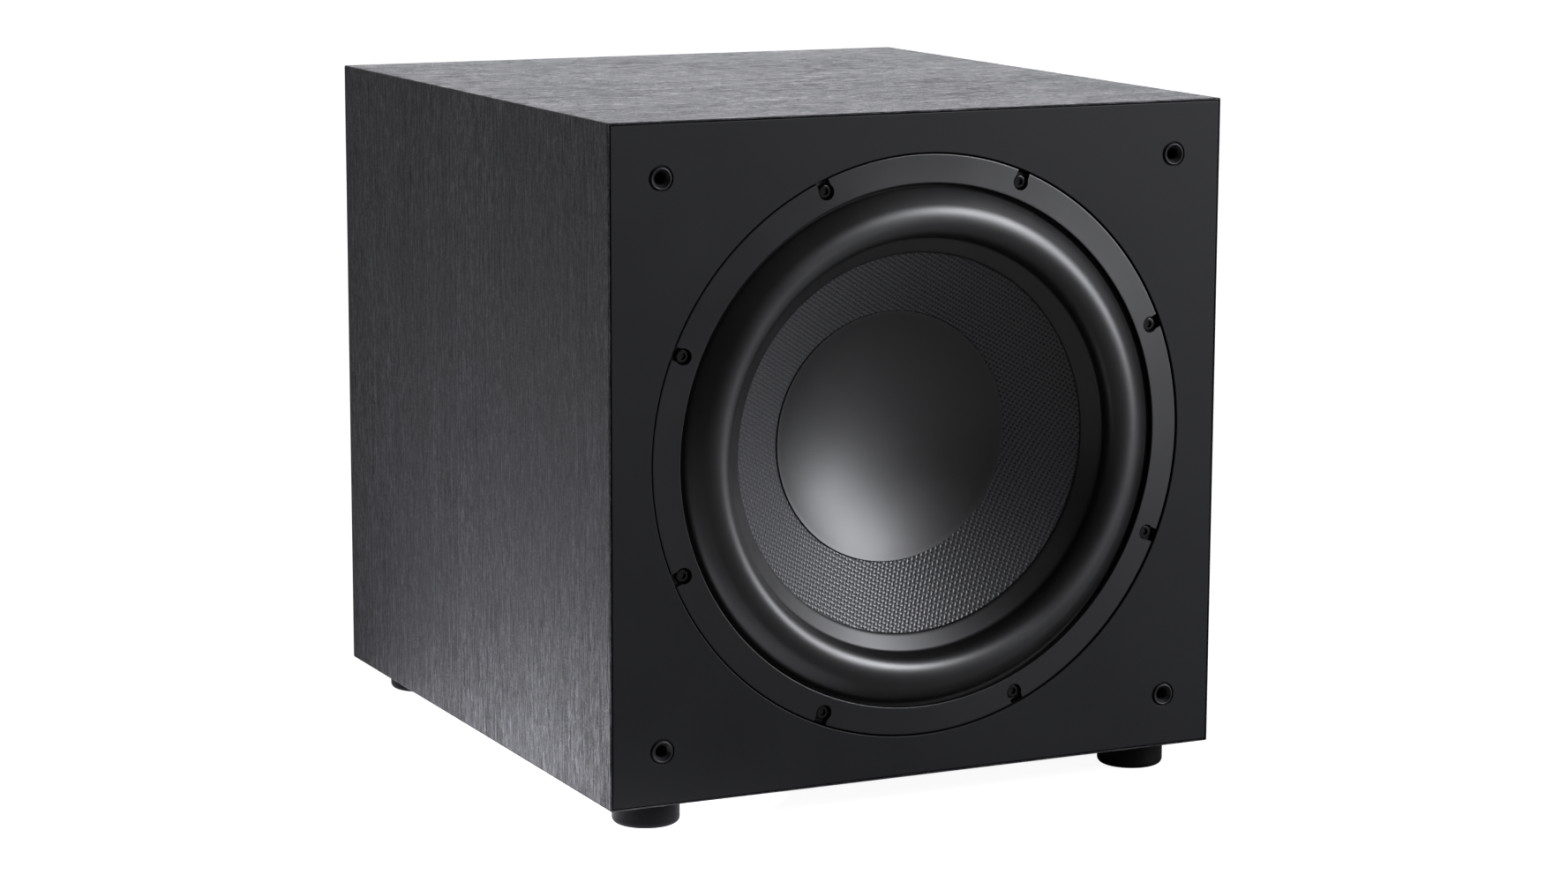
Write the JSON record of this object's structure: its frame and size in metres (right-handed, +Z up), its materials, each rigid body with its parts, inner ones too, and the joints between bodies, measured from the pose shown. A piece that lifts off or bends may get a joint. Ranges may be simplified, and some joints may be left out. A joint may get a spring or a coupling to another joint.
{
  "type": "powered subwoofer",
  "caption": "Sealed powered subwoofer: black woodgrain cabinet on round feet, large woven-cone driver in a notched trim ring, plate amplifier at the back.",
  "frame": {"origin": "on the floor, at the centre of the whole object's footprint box, from the surround's crown at the front to the control knobs at the back", "axes": "+Z up; -Y out of the front, along the driver's axis; +X to the right for someone facing the front"},
  "size_m": [0.366, 0.4236, 0.3785],
  "materials": {
    "carcass_vinyl": "satin",
    "baffle_paint": "satin",
    "raw_board": "matte",
    "rear_paint": "matte",
    "polyester_wadding": "matte",
    "socket_plastic": "satin",
    "foot_rubber": "satin",
    "black_screws": "satin",
    "zinc_screws": "satin",
    "ring_plastic": "satin",
    "surround_rubber": "satin",
    "woven_cone": "satin",
    "cap_plastic": "satin",
    "former_film": "satin",
    "coil_wire": "satin",
    "spider_cloth": "matte",
    "cast_frame": "satin",
    "gasket_foam": "matte",
    "plated_steel": "satin",
    "ferrite": "matte",
    "boot_rubber": "matte",
    "terminal_board": "matte",
    "terminal_tin": "satin",
    "tinsel_braid": "satin",
    "lead_red": "satin",
    "lead_black": "satin",
    "amp_paint": "satin",
    "box_steel": "satin",
    "board_green": "satin",
    "transformer_tape": "satin",
    "capacitor_sleeve": "satin",
    "heatsink_metal": "satin",
    "inlet_plastic": "satin",
    "contact_metal": "polished",
    "rocker_plastic": "satin",
    "knob_plastic": "matte",
    "shaft_metal": "satin",
    "pot_plastic": "matte",
    "slider_plastic": "matte",
    "jack_white_plastic": "satin",
    "jack_red_plastic": "satin",
    "led_lens": "gloss"
  },
  "bodies": {
    "cabinet_body": {"top_panel": "carcass_vinyl", "bottom_panel": "carcass_vinyl", "left_panel": "carcass_vinyl", "right_panel": "carcass_vinyl", "front_baffle": "baffle_paint", "rear_panel": "rear_paint", "window_brace": "raw_board", "wadding": "polyester_wadding", "grille_sockets": "socket_plastic", "foot_front_left": "foot_rubber", "foot_front_right": "foot_rubber", "foot_rear_left": "foot_rubber", "foot_rear_right": "foot_rubber", "foot_screws": "zinc_screws", "trim_ring": "ring_plastic", "basket": "cast_frame", "flange_gasket": "gasket_foam", "driver_screws": "black_screws", "top_plate": "plated_steel", "ring_magnets": "ferrite", "pole_yoke": "plated_steel", "magnet_boot": "boot_rubber", "terminal_strip": "terminal_board", "terminal_lugs": "terminal_tin", "speaker_lead_red": "lead_red", "speaker_lead_black": "lead_black", "lead_grommets": "foot_rubber", "amp_plate": "amp_paint", "amp_gasket": "gasket_foam", "amp_screws": "black_screws", "amp_back_box": "box_steel", "circuit_board": "board_green", "transformer": "transformer_tape", "capacitors": "capacitor_sleeve", "heatsink": "heatsink_metal", "pot_bodies": "pot_plastic", "phase_switch_body": "pot_plastic", "mode_switch_body": "pot_plastic", "rocker_bezel": "inlet_plastic", "mains_inlet": "inlet_plastic", "inlet_pins": "contact_metal", "inlet_screws": "black_screws", "jack_shells": "contact_metal", "jack_white": "jack_white_plastic", "jack_red": "jack_red_plastic", "power_led": "led_lens"},
    "cone_body": {"surround": "surround_rubber", "cone": "woven_cone", "dust_cap": "cap_plastic", "coil_former": "former_film", "voice_coil": "coil_wire", "spider": "spider_cloth", "tinsel_leads": "tinsel_braid"},
    "volume_body": {"volume_knob": "knob_plastic", "volume_shaft": "shaft_metal"},
    "crossover_body": {"crossover_knob": "knob_plastic", "crossover_shaft": "shaft_metal"},
    "phase_body": {"phase_slider": "slider_plastic"},
    "mode_body": {"mode_slider": "slider_plastic"},
    "rocker_body": {"power_rocker": "rocker_plastic"}
  },
  "joints": [
    {"name": "cone_travel", "type": "slide", "parent": "cabinet_body", "child": "cone_body", "axis": [0, 1, 0], "range_m": [-0.012, 0.012], "stiffness_N_per_m": 3000, "deforming": ["surround", "spider", "tinsel_leads"]},
    {"name": "volume_turn", "type": "hinge", "parent": "cabinet_body", "child": "volume_body", "pos_m": [0.05, 0.20445, 0.279], "axis": [0, 1, 0], "range_deg": [-150, 150]},
    {"name": "crossover_turn", "type": "hinge", "parent": "cabinet_body", "child": "crossover_body", "pos_m": [0.05, 0.20445, 0.231], "axis": [0, 1, 0], "range_deg": [-150, 150]},
    {"name": "phase_slide", "type": "slide", "parent": "cabinet_body", "child": "phase_body", "axis": [0, 0, 1], "range_m": [0, 0.004]},
    {"name": "mode_slide", "type": "slide", "parent": "cabinet_body", "child": "mode_body", "axis": [0, 0, 1], "range_m": [-0.003, 0.003]},
    {"name": "rocker_tilt", "type": "hinge", "parent": "cabinet_body", "child": "rocker_body", "pos_m": [0.038, 0.19645, 0.1], "axis": [1, 0, 0], "range_deg": [0, 22]}
  ]
}
